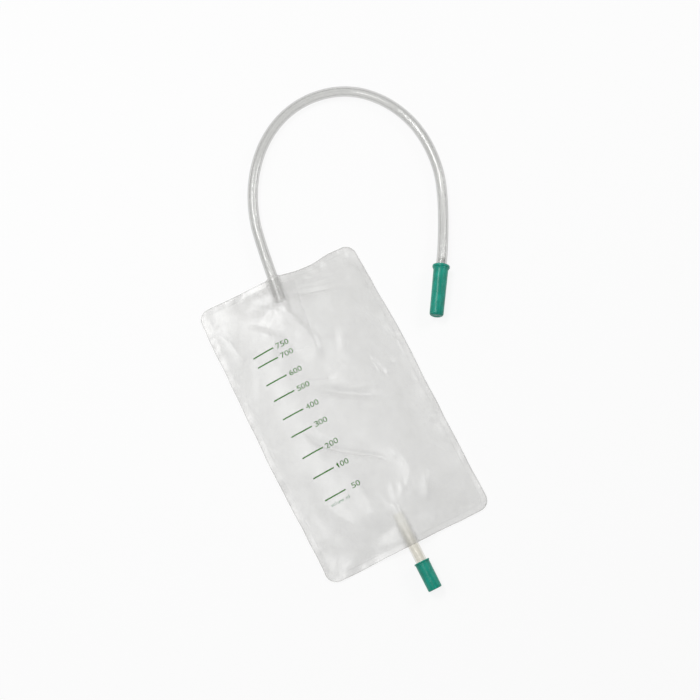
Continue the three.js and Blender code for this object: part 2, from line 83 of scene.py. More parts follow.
# Main folds of the front film: height over the crown, half width, and points of the crest
FOLDS = [
    (-1.2, 6, [(5, 108), (20, 103), (40, 99), (58, 92)]),
    (1.7, 7, [(53, 80), (60, 58), (65, 34), (68, 4), (67, -24)]),
    (-1.5, 8, [(-16, 23), (4, 12), (22, 2), (46, -13)]),
    (1.1, 7, [(2, 24), (24, 12), (50, -2)]),
    (-1.3, 6, [(46, 34), (49, 20), (44, 6)]),
    (0.9, 7, [(32, 60), (24, 42), (27, 24)]),
    (-1.8, 7, [(-36, -8), (-24, -26), (-8, -38), (10, -51), (20, -60)]),
    (1.5, 8, [(16, -46), (28, -60), (26, -76), (14, -90)]),
    (1.4, 6, [(40, -76), (34, -90), (27, -104)]),
    (-1.2, 9, [(-64, 100), (-58, 84), (-60, 66)]),
    (1.5, 12, [(-54, -58), (-42, -80), (-28, -102)]),
    (-1.3, 8, [(-62, -64), (-56, -84), (-46, -104)]),
]
GATHER_ANGLES = [math.radians(a) for a in (-62, -38, -15, 15, 38, 62)]
GATHER_LENGTH, GATHER_HEIGHT, GATHER_WIDTH = 26.0, 1.1, 4.0

# Sharper creases, on the main folds and between them, given as the folds are
CREASES = [
    (0.39, 1.8, [(-6, 108), (-5, 96), (-1, 80), (1, 64)]),
    (-0.33, 1.6, [(1, 104), (1, 88), (5, 70), (-4, 52)]),
    (0.28, 1.5, [(-30, 116), (-22, 106), (-12, 98), (-6, 94)]),
    (-0.28, 1.4, [(-20, 112), (-16, 102), (-26, 90)]),
    (0.28, 1.4, [(8, 110), (22, 106), (42, 101), (56, 98)]),
    (0.28, 1.3, [(14, 114), (28, 110), (44, 108)]),
    (-0.22, 1.2, [(18, 118), (30, 116), (40, 112)]),
    (0.39, 1.6, [(54, 78), (60, 58), (66, 38), (70, 5), (71, -20)]),
    (-0.28, 1.5, [(50, 74), (56, 54), (60, 36)]),
    (0.33, 1.5, [(10, 12), (26, 6), (48, -1)]),
    (-0.39, 1.6, [(-12, 20), (8, 10), (26, -1), (45, -13)]),
    (-0.28, 1.4, [(-8, 34), (2, 30), (12, 26)]),
    (0.28, 1.3, [(15, 38), (19, 31), (22, 26)]),
    (0.28, 1.3, [(47, 30), (50, 15), (45, 5)]),
    (-0.44, 1.7, [(-35, -10), (-25, -25), (-12, -35), (5, -48), (18, -62)]),
    (0.33, 1.6, [(-30, -4), (-20, -20), (-8, -30), (8, -42)]),
    (0.44, 1.8, [(25, -60), (28, -70), (22, -80), (12, -90)]),
    (0.39, 1.5, [(38, -80), (33, -92), (28, -102)]),
    (0.39, 1.3, [(-14, -90), (-10, -97), (-6, -105)]),
    (0.33, 1.2, [(-8, -90), (-6, -98), (-3, -106)]),
    (-0.33, 1.2, [(6, -98), (7, -106), (8, -116)]),
    (0.28, 1.8, [(-73, 45), (-64, 58), (-55, 72)]),
    (-0.22, 1.6, [(-66, 104), (-60, 92), (-58, 78)]),
    (0.22, 2.0, [(-50, -70), (-40, -86), (-30, -100)]),
    (-1.0, 1.7, [(7, 106), (24, 102), (40, 97)]),
    (-1.3, 1.6, [(-37, -6), (-31, -20), (-15, -35), (0, -45), (10, -52), (17, -61)]),
    (-1.3, 2.4, [(42, 30), (44, 18), (46, 6)]),
    (-1.6, 5.0, [(-12, 24), (8, 9), (30, -5)]),
    (-0.9, 1.8, [(-16, 35), (-6, 30), (6, 25)]),
]

# Pleats of the front film, with a broad tilted face on the left of the crest and a steep one on the
# right: height, width of the left face, width of the right face, and points of the crest
PLEATS = [
    (1.9, 9, 6.0, [(-69, 34), (-60, 51), (-47, 70)]),
    (1.5, 14, 6.5, [(71, -44), (70, -14), (67, 12), (64, 38), (60, 58), (55, 80)]),
    (2.5, 16, 5.0, [(0, 40), (3, 52), (4, 65), (1, 79), (-4, 93), (-8, 110)]),
    (2.3, 26, 10.0, [(-21, -112), (-16, -92), (-15, -76), (-19, -58), (-30, -38)]),
    (1.0, 12, 3.0, [(26, -104), (34, -92), (39, -78)]),
    (0.9, 9, 2.5, [(9, -92), (14, -84), (17, -72)]),
    (1.7, 4.5, 3.0, [(57, 12), (54, 20), (50, 29)]),
    (2.3, 25, 6.0, [(-17, 68), (-27, 80), (-38, 91), (-50, 98)]),
]


# Camera, at the photograph's place
CAMERA_PLACE, CAMERA_TARGET = (-0.0747, -0.1687, 0.8941), (0.0294, 0.0421, 0.0)
CAMERA_UP, CAMERA_LENS = (0.4428, 0.8966, 0.0), 55.5


def look_from(position, target, up):
    back = (Vector(position) - Vector(target)).normalized()
    right = Vector(up).cross(back).normalized()
    matrix = Matrix((right, back.cross(right), back)).transposed().to_4x4()
    matrix.translation = Vector(position)
    return matrix


def add_object(name, data):
    made = bpy.data.objects.new(name, data)
    bpy.context.scene.collection.objects.link(made)
    return made


camera_data = bpy.data.cameras.new("camera")
camera_data.sensor_width, camera_data.lens = 36, CAMERA_LENS
camera_data.clip_start, camera_data.clip_end = 0.02, 60
camera = add_object("camera", camera_data)
camera.matrix_world = look_from(CAMERA_PLACE, CAMERA_TARGET, CAMERA_UP)
bpy.context.scene.camera = camera


# Small helpers

def clamp01(value):
    return np.clip(value, 0.0, 1.0)


def ease(value):
    """0 up to 0, 1 from 1 on, and a smooth step between."""
    t = clamp01(value)
    return t * t * (3 - 2 * t)


def soft_max(a, b, softness):
    return (a + b + np.hypot(a - b, softness)) / 2


NOISE_CELLS = 128
FACET_LAYERS = 3


def noise(x, y, cell, seed):
    """Smooth noise from -1 to 1 with features of about one cell, turned so that its grid doesn't show."""
    rng = np.random.default_rng(seed)
    table = rng.uniform(-1, 1, (NOISE_CELLS, NOISE_CELLS))
    turn = rng.uniform(0, math.pi)
    u = (x * math.cos(turn) + y * math.sin(turn)) / cell + NOISE_CELLS / 2
    v = (y * math.cos(turn) - x * math.sin(turn)) / cell + NOISE_CELLS / 2
    i, j = np.floor(u).astype(int), np.floor(v).astype(int)
    fu, fv = u - i, v - j
    fu, fv = (f ** 3 * (f * (6 * f - 15) + 10) for f in (fu, fv))
    i, j = i % (NOISE_CELLS - 1), j % (NOISE_CELLS - 1)
    low = table[i, j] * (1 - fu) + table[i + 1, j] * fu
    high = table[i, j + 1] * (1 - fu) + table[i + 1, j + 1] * fu
    return low * (1 - fv) + high * fv


def facets(x, y, period, seed):
    """Tilted patches with sharp borders, as in crumpled film."""
    rng = np.random.default_rng(seed)
    total = np.zeros(np.shape(x))
    for k in range(FACET_LAYERS):
        angle = rng.uniform(0, math.pi)
        warp = 0.9 * noise(x, y, 1.6 * period, seed + 10 + k)
        phase = (x * math.cos(angle) + y * math.sin(angle)) / period + warp
        total += abs(2 * (phase % 1) - 1) - 0.5
    return total / FACET_LAYERS


def layered(kind, layers, x, y):
    """The sum of layers of noise or of facets, each given as its height, size and seed."""
    return sum(height * kind(x, y, size, seed) for height, size, seed in layers)


# Shape of the films

# How the flat outline comes to lie: the top edge is drawn in beside the inlet, two corners lean in, the
# right side bulges and the rim waves a little
DRAWN_DEPTH, DRAWN_AT, DRAWN_HALF, DRAWN_REACH = 2.2, 27.0, 20.0, 34.0
LOWER_LEFT_LEAN, UPPER_RIGHT_LEAN = 3.0, 2.2
BULGE_DEPTH, BULGE_AT, BULGE_HALF = 1.2, 48.0, 42.0
RIM_WAVE, RIM_REACH = 0.35, 14.0

# Waves along the weld
SEAM_WAVES = [(0.5, 13, 33), (0.25, 6, 34)]


def edge_distance(x, y):
    past_x = abs(x) - (HALF_WIDTH - CORNER_RADIUS)
    past_y = abs(y) - (HALF_LENGTH - CORNER_RADIUS)
    outside = np.hypot(np.maximum(past_x, 0), np.maximum(past_y, 0))
    return CORNER_RADIUS - outside - np.minimum(np.maximum(past_x, past_y), 0)


def past_weld(x, y, reach):
    """0 in the weld, rising to 1 at a reach inside it."""
    return ease((edge_distance(x, y) - WELD_WIDTH) / reach)


def port_axes(port):
    along = (-math.sin(port.lean), -math.cos(port.lean))
    across = (math.cos(port.lean), -math.sin(port.lean))
    return along, across


def from_port(port, x, y):
    """How deep in the bag a point is, along a port's tube, and how far to the side of it."""
    along, across = port_axes(port)
    dx, dy = x - port.x, y - port.y
    return dx * along[0] + dy * along[1], dx * across[0] + dy * across[1]


def port_at(port, depth, side):
    along, across = port_axes(port)
    return port.x + along[0] * depth + across[0] * side, port.y + along[1] * depth + across[1] * side


def lay_down(x, y):
    """Where a point of the flat bag comes to lie."""
    right, up = x / HALF_WIDTH, y / HALF_LENGTH
    drawn = np.exp(-(((x - DRAWN_AT) / DRAWN_HALF) ** 4))
    near_top = ease(1 - (HALF_LENGTH - y) / DRAWN_REACH)
    lower_left = ease(-right) * ease(-up)
    upper_right = ease(right) * ease(up)
    rim = 1 - ease(edge_distance(x, y) / RIM_REACH)
    wave_x = RIM_WAVE * noise(x, y, 17, 31) * rim * clamp01(3 * abs(x) / HALF_WIDTH - 2)
    wave_y = RIM_WAVE * noise(x, y, 15, 32) * rim * ease(abs(x) / 12 - 1)
    bulge = BULGE_DEPTH * ease(right) * np.exp(-(((y - BULGE_AT) / BULGE_HALF) ** 2))
    lying_x = x + LOWER_LEFT_LEAN * lower_left - UPPER_RIGHT_LEAN * upper_right + bulge + wave_x
    return lying_x, y - DRAWN_DEPTH * drawn * near_top + wave_y


def drape(port, x, y, radius, fall):
    """Height over a tube's middle of film that wraps it and leaves it at a slope on both sides."""
    depth, side = from_port(port, x, y)
    turn = radius * math.sin(WRAP_ANGLE)
    past = np.maximum(depth - port.inside, 0) / fall
    drop = 2 * radius * past * past
    round_part = np.sqrt(np.maximum(radius * radius - side * side, 0))
    beside = radius * math.cos(WRAP_ANGLE) - (abs(side) - turn) * math.tan(WRAP_ANGLE)
    return np.where(abs(side) < turn, round_part, beside) - drop


def seam_rise(x, y):
    side = np.where(y > 0, from_port(INLET, x, y)[1], from_port(OUTLET, x, y)[1])
    height = np.where(y > 0, INLET.z, OUTLET.z)
    near = 1 - ease((abs(side) - 1.3 * TUBE_RADIUS) / WRAP_SPREAD)
    wave = layered(noise, SEAM_WAVES, x, y) * (1 - 0.6 * near)
    rise = SEAM_LIFT + (height - FILM_THICKNESS - SEAM_SINK - SEAM_LIFT) * near + wave
    return np.maximum(rise, 0) * (1 - past_weld(x, y, SETTLE_REACH))


def back_base(x, y):
    return FILM_THICKNESS + seam_rise(x, y)


def parting(distance):
    """How far the films part at a distance from the weld: fully at the crown's reach."""
    t = clamp01(distance / CROWN_REACH)
    return (1 - (1 - t) ** 2) ** CROWN_POWER


def crown(x, y):
    across = parting(HALF_WIDTH - WELD_WIDTH - abs(x))
    along = parting(HALF_LENGTH - WELD_WIDTH - abs(y))
    return np.where(edge_distance(x, y) <= WELD_WIDTH, 0, across * along)


CURVE_STEPS, PATH_SPACING = 24, 1.6


def smooth_curve(points):
    """Centripetal Catmull-Rom curve through points, at an even spacing, and its length."""
    points = [np.array(p, float) for p in points]
    padded = [2 * points[0] - points[1]] + points + [2 * points[-1] - points[-2]]
    fine = []
    for p0, p1, p2, p3 in zip(padded, padded[1:], padded[2:], padded[3:]):
        d0, d1, d2 = (math.sqrt(np.linalg.norm(b - a)) for a, b in ((p0, p1), (p1, p2), (p2, p3)))
        m1 = d1 * ((p1 - p0) / d0 - (p2 - p0) / (d0 + d1) + (p2 - p1) / d1)
        m2 = d1 * ((p2 - p1) / d1 - (p3 - p1) / (d1 + d2) + (p3 - p2) / d2)
        for t in np.linspace(0, 1, CURVE_STEPS, endpoint=False):
            fine.append(
                (2 * t ** 3 - 3 * t ** 2 + 1) * p1 + (t ** 3 - 2 * t ** 2 + t) * m1
                + (3 * t ** 2 - 2 * t ** 3) * p2 + (t ** 3 - t ** 2) * m2
            )
    fine = np.array(fine + [points[-1]])
    walked = np.concatenate([[0], np.cumsum(np.linalg.norm(np.diff(fine, axis=0), axis=1))])
    even = np.linspace(0, walked[-1], max(int(walked[-1] / PATH_SPACING), 1) + 1)
    return np.stack([np.interp(even, walked, line) for line in fine.T], -1), walked[-1]


@lru_cache(maxsize=None)
def crest_curve(crest):
    return smooth_curve(crest)[0]


def raise_crest(crest, reach, x, y, height_at):
    """Adds a height along a smooth crest, up to its reach. The height is given by a point's distance to
    the crest, the side it is on (above 0 on the left) and the share of the crest's length at which it is."""
    curve = crest_curve(tuple(crest))
    low, high = curve.min(0) - reach, curve.max(0) + reach
    total = np.zeros(np.shape(x))
    near = (x > low[0]) & (x < high[0]) & (y > low[1]) & (y < high[1])
    if not near.any():
        return total
    run = np.diff(curve, axis=0)
    off = np.stack([x[near], y[near]], -1)[:, None] - curve[:-1]
    along = clamp01((off * run).sum(-1) / (run ** 2).sum(-1))
    off -= along[..., None] * run
    distance = np.hypot(off[..., 0], off[..., 1])
    best = distance.argmin(1)
    mine = np.arange(len(best)), best
    side = run[best, 0] * off[mine][:, 1] - run[best, 1] * off[mine][:, 0]
    total[near] = height_at(distance[mine], side, (best + along[mine]) / len(run))
    return total


# Reach of a fold, in widths, and how far a pleat's crest is rounded
FOLD_REACH, PLEAT_ROUNDING = 3.5, 0.8


def fold_height(fold, x, y):
    height, width, crest = fold

    def rounded(distance, side, share):
        taper = ease(np.minimum(share, 1 - share) / 0.25)
        fade = 1 - ease(distance / width - (FOLD_REACH - 1))
        return height * (0.25 + 0.75 * taper) * fade / (1 + (distance / width) ** 2) ** 2

    return raise_crest(crest, FOLD_REACH * width, x, y, rounded)


def pleat_height(pleat, x, y):
    height, left_width, right_width, crest = pleat

    def tilted(distance, side, share):
        off = np.hypot(distance, PLEAT_ROUNDING) - PLEAT_ROUNDING
        face = np.maximum(1 - off / np.where(side > 0, left_width, right_width), 0)
        taper = ease(share / 0.25) * ease((1 - share) / 0.7)
        return height * taper * face ** 1.25

    return raise_crest(crest, max(left_width, right_width), x, y, tilted)


def gathers_of(port, share):
    gathers = []
    for angle in GATHER_ANGLES:
        start = port_at(port, port.inside + 2, GATHER_WIDTH * math.sin(angle))
        end = port_at(
            port, port.inside + GATHER_LENGTH * math.cos(angle), GATHER_LENGTH * math.sin(angle)
        )
        gathers.append((share * GATHER_HEIGHT, GATHER_WIDTH, [start, end]))
    return gathers


ALL_FOLDS = FOLDS + gathers_of(INLET, share=0.4) + gathers_of(OUTLET, share=1.0)

# Small creases: the field that they lie in, the width as a share of the length, the zones by the weld
# and round the tubes, and the mean and spread of the angles, in degrees
CREASED_X, CREASED_Y, CREASE_SHARES, CREASE_BEND = 68, 122, (0.16, 0.3), 0.012
SIDE_ZONE, END_ZONE, TUBE_ZONE = 16, 18, 42
ALONG_BAG, NEAR_SIDE, NEAR_END, NEAR_TUBE = (72, 28), (0, 30), (90, 28), (0, 12)

# Number of small creases, seed, and ranges of length and height
FRONT_CREASES = (120, 5, (9, 26), (0.03, 0.14))
BACK_CREASES = (150, 6, (10, 30), (0.05, 0.22))

# Finer unevenness of the front film: layers of noise and facets
SOFT_WAVES = [(0.5, 30, 41), (0.12, 13, 42)]
BROKEN_FACETS = [(0.4, 34, 50), (0.1, 15, 70)]

# Puckers along the weld
PUCKER_HEIGHT, PUCKER_REACH, PUCKER_WAVES = 0.12, 5.0, [(1.0, 3.1, 81), (0.7, 7, 82)]

# How the front film slopes up to each tube: height, spread to the sides, and depth where it ends
TENTS = [(INLET, 2.6, 32.0, 56.0), (OUTLET, 1.6, 22.0, 44.0)]
TENT_START, TENT_TOP = 12.0, 20.0

FOLD_SHARE, LOWEST_CROWN = 0.7, 0.15
FILM_BLEND, FLAP_BLEND = 0.8, 0.3

# How the back film lifts off the surface, least of all under the valve
BACK_LIFT, BACK_LIFT_MOST, UNDER_VALVE, VALVE_END = 0.22, 0.8, 0.35, 66.0
FLAP_RIPPLE = 0.35


def small_creases(x, y, count, seed, lengths, heights):
    """Many short straight creases: radial near the tubes, square to the weld near the edges, and
    otherwise more or less along the bag."""
    rng = np.random.default_rng(seed)

    def some_angle(mean, spread):
        return rng.normal(math.radians(mean), math.radians(spread))

    total = np.zeros(np.shape(x))
    for _ in range(count):
        cx = rng.uniform(-CREASED_X, CREASED_X)
        cy = rng.uniform(-CREASED_Y, CREASED_Y)
        angle = some_angle(*ALONG_BAG)
        length = rng.uniform(*lengths)
        width = rng.uniform(*CREASE_SHARES) * length
        height = rng.uniform(*heights) * rng.choice([-1, 1])
        bend = rng.uniform(-CREASE_BEND, CREASE_BEND)
        if HALF_WIDTH - abs(cx) < SIDE_ZONE:
            angle = some_angle(*NEAR_SIDE)
        if HALF_LENGTH - abs(cy) < END_ZONE:
            angle = some_angle(*NEAR_END)
        for port in (INLET, OUTLET):
            depth, side = from_port(port, cx, cy)
            if math.hypot(depth - port.inside, side) < TUBE_ZONE:
                along, across = port_axes(port)
                ahead = depth - port.inside + 6
                away_x, away_y = (a * ahead + b * side for a, b in zip(along, across))
                angle = math.atan2(away_y, away_x) + some_angle(*NEAR_TUBE)
        run = (x - cx) * math.cos(angle) + (y - cy) * math.sin(angle)
        off = (y - cy) * math.cos(angle) - (x - cx) * math.sin(angle) + bend * run * run
        ridge = np.maximum(1 - abs(off) / width, 0)
        total += height * ridge * ease((1 - abs(run) / (length / 2)) / 0.6)
    return total


def crumple(x, y):
    """The front film's finer unevenness, over its main folds."""
    soft = layered(noise, SOFT_WAVES, x, y)
    broken = layered(facets, BROKEN_FACETS, x, y)
    short = small_creases(x, y, *FRONT_CREASES)
    return soft + broken + short + sum(pleat_height(pleat, x, y) for pleat in PLEATS)


def sharp_creases(x, y):
    return past_weld(x, y, 3) * sum(fold_height(crease, x, y) for crease in CREASES)


def weld_puckers(x, y):
    """Short wrinkles that run in from the weld all round."""
    by_a_side = HALF_WIDTH - abs(x) < HALF_LENGTH - abs(y)
    around = np.where(by_a_side, y + 3 * np.sign(x), x + 500 * np.sign(y))
    waves = layered(noise, PUCKER_WAVES, around, 0 * around)
    reach = PUCKER_REACH + 4 * noise(around, 0 * around, 11, 83)
    rise = past_weld(x, y, 1.5)
    return PUCKER_HEIGHT * waves * rise * (1 - past_weld(x, y, np.maximum(reach, 2)))


def tent(x, y):
    """The front film slopes up to the tubes on both sides, beyond what the weld alone asks."""
    total = np.zeros(np.shape(x))
    for port, height, spread, reach in TENTS:
        depth, side = from_port(port, x, y)
        across = 1 - ease(abs(side) / spread)
        falling = ease((depth - TENT_TOP) / (reach - TENT_TOP))
        total += height * across * (ease((depth - WELD_WIDTH) / TENT_START) * (1 - falling))
    return total


def front_base(x, y):
    share = crown(x, y)
    folded = FOLD_SHARE * sum(fold_height(fold, x, y) for fold in ALL_FOLDS)
    relief = share * (CROWN_HEIGHT + folded + crumple(x, y)) + tent(x, y)
    relief = relief + sharp_creases(x, y) + weld_puckers(x, y)
    return back_base(x, y) + WELD_LINE + np.maximum(relief, LOWEST_CROWN * share * CROWN_HEIGHT)


def wrap(face, height, port, x, y, radius, fall, blend):
    """Drapes film of a height round a tube: over it where face is 1, and under it where face is -1."""
    draped = face * port.z + drape(port, x, y, radius, fall)
    return face * soft_max(face * height, draped, blend)


def wrap_tubes(face, height, x, y):
    for port in (INLET, OUTLET):
        inside = ease((from_port(port, x, y)[0] - WELD_WIDTH) / (FLAP_TOP - 1 - WELD_WIDTH))
        radius = TUBE_RADIUS + PIECE_GAP + port.flap_room * inside
        height = wrap(face, height, port, x, y, radius, FILM_FALL, FILM_BLEND)
    return height


def front_inner(x, y):
    return wrap_tubes(1, front_base(x, y), x, y)


def back_inner(x, y):
    height = wrap_tubes(-1, back_base(x, y), x, y)
    lift = BACK_LIFT + 0.3 * facets(x, y, 22, 90) + 0.12 * noise(x, y, 9, 91)
    lift += small_creases(x, y, *BACK_CREASES)
    depth, side = from_port(INLET, x, y)
    past_valve = np.maximum(abs(side) - FLAP_WIDTH / 2, depth - VALVE_END)
    off_valve = ease((past_valve + 6) / 8)
    away = past_weld(x, y, 10) * (UNDER_VALVE + (1 - UNDER_VALVE) * off_valve)
    return np.maximum(height, FILM_THICKNESS) + np.clip(lift, 0, BACK_LIFT_MOST) * away


def flap_middle(x, y):
    return back_base(x, y) + np.minimum((front_base(x, y) - back_base(x, y)) / 2, FLAP_REST)


def lip_opening(x, y):
    depth, side = from_port(INLET, x, y)
    across = 1 - (2 * side / FLAP_WIDTH) ** 2
    return LIP_PARTING * np.maximum(across, 0) * ease((depth - FLAP_TOP) / FLAP_LENGTH)


def front_flap_inner(x, y):
    far = ease((from_port(INLET, x, y)[0] - 20) / 30)
    ripple = FLAP_RIPPLE * (noise(x, y, 8, 95) + 1) * far
    flat = flap_middle(x, y) + FLAP_SEAM / 2 + lip_opening(x, y) + ripple
    return wrap(1, flat, INLET, x, y, TUBE_RADIUS + FIT_GAP, FLAP_FALL, FLAP_BLEND)


def back_flap_inner(x, y):
    flat = flap_middle(x, y) - FLAP_SEAM / 2
    return wrap(-1, flat, INLET, x, y, TUBE_RADIUS + FIT_GAP, FLAP_FALL, FLAP_BLEND)


# Meshes

def place(x, y, height, thickness, step=0.05):
    """Inner and outer points of a thin sheet over flat points, with its outer face along the normal."""
    slope_x = (height(x + step, y) - height(x - step, y)) / (2 * step)
    slope_y = (height(x, y + step) - height(x, y - step)) / (2 * step)
    length = np.sqrt(slope_x ** 2 + slope_y ** 2 + 1)
    normal = np.stack([-slope_x, -slope_y, np.ones_like(slope_x)], -1) / length[..., None]
    lying_x, lying_y = lay_down(x, y)
    inner = np.stack([lying_x, lying_y, height(x, y)], -1)
    return inner, inner + normal * thickness


def grid_faces(rows, columns, start=0, flip=False, wrap=False):
    """Faces of a grid of points, whose columns close on themselves where wrap is true."""
    row, column = np.meshgrid(
        np.arange(rows - 1), np.arange(columns if wrap else columns - 1), indexing="ij"
    )
    after = (column + 1) % columns
    corners = [row * columns + column, row * columns + after]
    corners += [(row + 1) * columns + after, (row + 1) * columns + column]
    faces = start + np.stack(corners, -1).reshape(-1, 4)
    return faces[:, ::-1] if flip else faces


def make_object(name, points, faces, material, sharp=None):
    mesh = bpy.data.meshes.new(name)
    mesh.from_pydata((np.asarray(points) * MM).tolist(), [], [list(map(int, face)) for face in faces])
    mesh.polygons.foreach_set("use_smooth", [True] * len(mesh.polygons))
    if sharp is not None:
        mesh.set_sharp_from_angle(angle=math.radians(sharp))
    mesh.materials.append(material)
    mesh.update()
    return add_object(name, mesh)


def add_attribute(piece, name, values):
    attribute = piece.data.attributes.new(name, "FLOAT", "POINT")
    attribute.data.foreach_set("value", np.asarray(values, float).ravel())


def dress(piece, body, slot, *nodes):
    """Hang a piece on its body and let it stand for the nodes. The slot is not used."""
    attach(piece, body)
    if nodes:
        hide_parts(*nodes)
    return piece


def flap_edge(x, y):
    """Distance of a flap's points to its own long edges, on the far side of the film's weld line."""
    return FLAP_WIDTH / 2 - abs(from_port(INLET, x, y)[1]) + WELD_WIDTH + 2


def make_sheet(name, points, height, thickness, material, edge=edge_distance):
    """A thin closed sheet over flat points, with each point's distance to its edge."""
    x, y = points
    rows, columns = x.shape
    inner, outer = place(x, y, height, thickness)
    count = rows * columns
    up = thickness > 0
    faces = [grid_faces(rows, columns, 0, flip=up), grid_faces(rows, columns, count, flip=not up)]
    index = np.arange(count).reshape(rows, columns)
    ring = np.concatenate([index[0, :-1], index[:-1, -1], index[-1, :0:-1], index[:0:-1, 0]])
    after = np.roll(ring, -1)
    rim = np.stack([ring, after, after + count, ring + count], -1)
    faces.append(rim if up else rim[:, ::-1])
    both = np.concatenate([inner.reshape(-1, 3), outer.reshape(-1, 3)])
    piece = make_object(name, both, np.concatenate(faces), material, SHEET_SHARP)
    add_attribute(piece, "edge", np.tile(edge(x, y).ravel(), 2))
    return piece


def film_points(cell):
    """Flat points of a film: rows close together round the corners, columns from edge to edge."""
    corner = CORNER_RADIUS * (1 - np.cos(np.linspace(0, math.pi / 2, max(5, int(CORNER_ROWS / cell)))))
    straight = BAG_LENGTH - 2 * CORNER_RADIUS
    middle = np.linspace(CORNER_RADIUS, BAG_LENGTH - CORNER_RADIUS, int(straight / cell) + 1)
    depths = np.concatenate([corner[:-1], middle, (BAG_LENGTH - corner[:-1])[::-1]])
    y = depths - HALF_LENGTH
    past = np.maximum(abs(y) - (HALF_LENGTH - CORNER_RADIUS), 0)
    half = HALF_WIDTH - CORNER_RADIUS + np.sqrt(np.maximum(CORNER_RADIUS ** 2 - past ** 2, 0))
    share = np.linspace(-1, 1, int(BAG_WIDTH / cell) + 1)
    share = share + COLUMN_SPREAD * np.sin(math.pi * share)
    return half[:, None] * share[None, :], np.repeat(y[:, None], len(share), 1)


def flap_points(cell):
    """Flat points of a flap that hangs from the inlet, with a level top edge."""
    along = np.linspace(0, 1, int(FLAP_LENGTH / cell) + 1)
    side = np.linspace(-FLAP_WIDTH / 2, FLAP_WIDTH / 2, int(FLAP_WIDTH / cell) + 1)
    share, side = np.meshgrid(along[::-1], side, indexing="ij")
    level = -side * math.tan(INLET.lean) * (1 - share)
    return port_at(INLET, FLAP_TOP + share * FLAP_LENGTH + level, side)


def spokes(forward, sides):
    """Angles round a nearly level direction, or round each of many, and the unit vectors at them."""
    right = np.cross(forward, [0, 0, 1.0])
    right /= np.linalg.norm(right, axis=-1, keepdims=True)
    up = np.cross(right, forward)
    angle = np.linspace(0, 2 * math.pi, sides, endpoint=False)
    turn = np.cos(angle)[:, None] * right[..., None, :] + np.sin(angle)[:, None] * up[..., None, :]
    return angle, turn


def make_tube(name, path, sides, material):
    """A hollow tube along a path that lies nearly level."""
    forward = np.gradient(path, axis=0)
    forward /= np.linalg.norm(forward, axis=1)[:, None]
    angle, turn = spokes(forward, sides)
    rings = len(path)
    walls = [(path[:, None] + radius * turn).reshape(-1, 3) for radius in (TUBE_RADIUS, TUBE_BORE)]
    faces = [grid_faces(rings, sides, 0, wrap=True), grid_faces(rings, sides, rings * sides, True, True)]
    here = np.arange(sides)
    after = (here + 1) % sides
    inside = rings * sides
    last = (rings - 1) * sides
    faces.append(np.stack([after, here, here + inside, after + inside], -1))
    faces.append(np.stack([here, after, after + inside, here + inside], -1) + last)
    piece = make_object(name, np.concatenate(walls), np.concatenate(faces), material, TUBE_SHARP)
    walked = np.concatenate([[0], np.cumsum(np.linalg.norm(np.diff(path, axis=0), axis=1))])
    add_attribute(piece, "along", np.tile(np.repeat(walked, sides), 2) * MM)
    add_attribute(piece, "around", np.tile(angle, 2 * rings))
    return piece


def make_turned(name, profile, origin, direction, material):
    """A profile of (radius, distance) turned about a line from origin along direction."""
    axis = np.array(Vector(direction).normalized())
    angle, spoke = spokes(axis, TURNED_SIDES)
    points = [np.array(origin) + axis * y + spoke * r for r, y in profile]
    faces = grid_faces(len(profile), TURNED_SIDES, wrap=True)
    piece = make_object(name, np.concatenate(points), faces, material)
    add_attribute(piece, "along", np.repeat([y * MM for _, y in profile], TURNED_SIDES))
    add_attribute(piece, "around", np.tile(angle, len(profile)))
    shape = bmesh.new()
    shape.from_mesh(piece.data)
    bmesh.ops.remove_doubles(shape, verts=shape.verts, dist=1e-6)
    bmesh.ops.recalc_face_normals(shape, faces=shape.faces)
    shape.to_mesh(piece.data)
    shape.free()
    piece.data.set_sharp_from_angle(angle=math.radians(TURNED_SHARP))
    return piece


def arc(radius, y, size, start, end, steps):
    angles = np.radians(np.linspace(start, end, steps + 1))
    return [(radius + size * math.cos(a), y + size * math.sin(a)) for a in angles]


# Materials

WHITE = (1, 1, 1, 1)
NOISE_LOW, NOISE_HIGH = 0.3, 0.7


def new_material(name):
    material = bpy.data.materials.new(name)
    material.use_nodes = True
    tree = material.node_tree
    return material, tree, tree.nodes["Principled BSDF"]


def feed(tree, target, inputs):
    """Gives inputs of a node, by name or number, their links or values."""
    for key, value in inputs.items():
        if isinstance(value, bpy.types.NodeSocket):
            tree.links.new(value, target.inputs[key])
        else:
            target.inputs[key].default_value = value


def node(tree, kind, inputs=None, **settings):
    made = tree.nodes.new(kind)
    for key, value in settings.items():
        setattr(made, key, value)
    feed(tree, made, inputs or {})
    return made


def maths(tree, operation, *values, clamp=False):
    inputs = dict(enumerate(values))
    return node(tree, "ShaderNodeMath", inputs, operation=operation, use_clamp=clamp).outputs[0]


def mapped(tree, value, start, stop, low, high):
    """Goes from low to high while the value goes from start to stop, and stays there beyond."""
    return node(tree, "ShaderNodeMapRange", {
        "Value": value, "From Min": start, "From Max": stop, "To Min": low, "To Max": high,
    }).outputs[0]


def speckle(tree, scale, detail, vector=None, low=0.0, high=1.0):
    """Noise from low to high, over the piece itself or over a vector."""
    if vector is None:
        vector = node(tree, "ShaderNodeTexCoord").outputs["Object"]
    texture = node(tree, "ShaderNodeTexNoise", {"Scale": scale, "Detail": detail, "Vector": vector})
    return mapped(tree, texture.outputs["Fac"], NOISE_LOW, NOISE_HIGH, low, high)


def attribute(tree, name):
    return node(tree, "ShaderNodeAttribute", attribute_name=name).outputs["Fac"]


def blended(tree, factor, first, second):
    inputs = {"Factor": factor, "A": (*first, 1), "B": (*second, 1)}
    return node(tree, "ShaderNodeMix", inputs, data_type="RGBA").outputs["Result"]


def mixed_shader(tree, factor, first, second):
    return node(tree, "ShaderNodeMixShader", {0: factor, 1: first, 2: second}).outputs[0]


